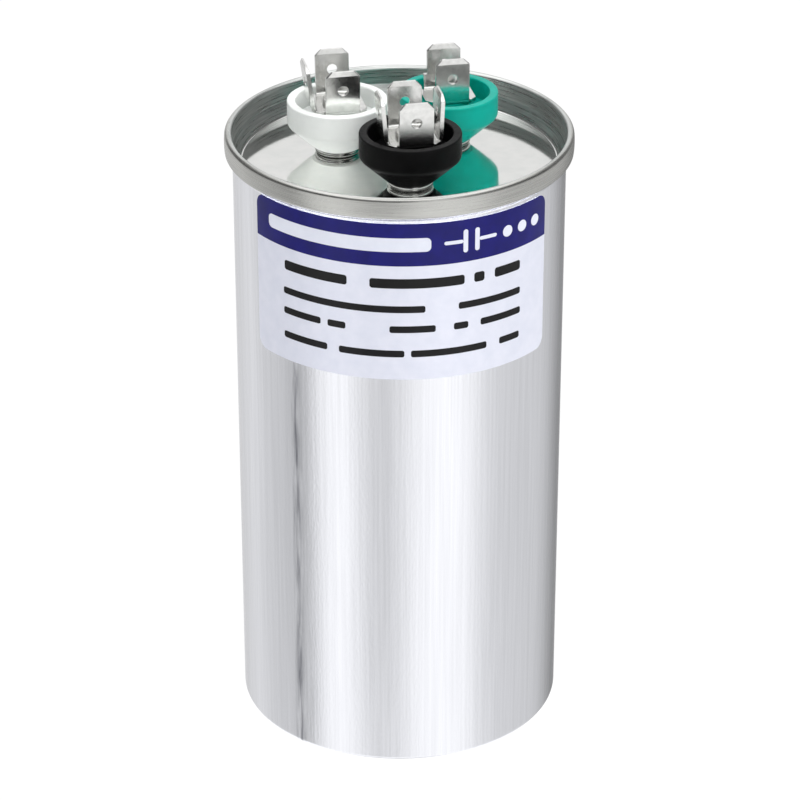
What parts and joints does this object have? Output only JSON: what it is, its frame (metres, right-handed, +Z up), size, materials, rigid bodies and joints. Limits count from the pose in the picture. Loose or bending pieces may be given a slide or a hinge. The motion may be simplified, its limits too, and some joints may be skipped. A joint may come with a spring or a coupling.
{
  "type": "motor run capacitor",
  "caption": "Round motor run capacitor: drawn metal can, double-seamed lid, insulating cups with push-on tabs, and a wound film roll with pressure interrupter inside",
  "frame": {"origin": "centre of the flat base, on the can's axis", "axes": "+Z runs up the can's axis to the terminals; the common terminal stands towards -Y, the compressor terminal towards -X and +Y, the fan terminal towards +X and +Y"},
  "size_m": [0.065, 0.065, 0.1311],
  "materials": {
    "drawn_can": "bright drawn, fine vertical draw lines",
    "tinned_lid": "bright tin plate, mirror deck",
    "sealing_compound": "dull",
    "printed_label": "printed film, violet blue header over pale lavender grey",
    "black_plastic": "satin moulded",
    "white_plastic": "semi-gloss moulded",
    "green_plastic": "semi-gloss moulded",
    "tinned_tab": "bright tin plate, fine rolling grain",
    "tinned_rivet": "bright tin plate",
    "tinned_collar": "polished",
    "gasket_rubber": "dull",
    "natural_plastic": "natural moulded",
    "insulating_board": "dull board",
    "metallised_film": "satin, silvery",
    "wrap_film": "clear yellowish film",
    "sprayed_zinc": "rough sprayed metal",
    "black_wire": "insulated",
    "white_wire": "insulated",
    "green_wire": "insulated"
  },
  "bodies": {
    "root": {"can": "drawn_can", "lid": "tinned_lid", "seam_compound": "sealing_compound", "label": "printed_label", "common_tabs": "tinned_tab", "common_rivet": "tinned_rivet", "common_cup": "black_plastic", "common_collar": "tinned_collar", "common_gasket": "gasket_rubber", "common_bush": "natural_plastic", "common_solder_tag": "tinned_tab", "fan_tabs": "tinned_tab", "fan_rivet": "tinned_rivet", "fan_cup": "green_plastic", "fan_collar": "tinned_collar", "fan_gasket": "gasket_rubber", "fan_bush": "natural_plastic", "fan_solder_tag": "tinned_tab", "herm_tabs": "tinned_tab", "herm_rivet": "tinned_rivet", "herm_cup": "white_plastic", "herm_collar": "tinned_collar", "herm_gasket": "gasket_rubber", "herm_bush": "natural_plastic", "herm_solder_tag": "tinned_tab", "interrupter_disc": "insulating_board", "common_lead": "black_wire", "fan_lead": "green_wire", "herm_lead": "white_wire", "core_tube": "natural_plastic", "fan_winding": "metallised_film", "section_barrier": "natural_plastic", "herm_winding": "metallised_film", "winding_wrap": "wrap_film", "common_end_spray": "sprayed_zinc", "fan_end_spray": "sprayed_zinc", "herm_end_spray": "sprayed_zinc", "bottom_insulator": "insulating_board"}
  },
  "joints": []
}
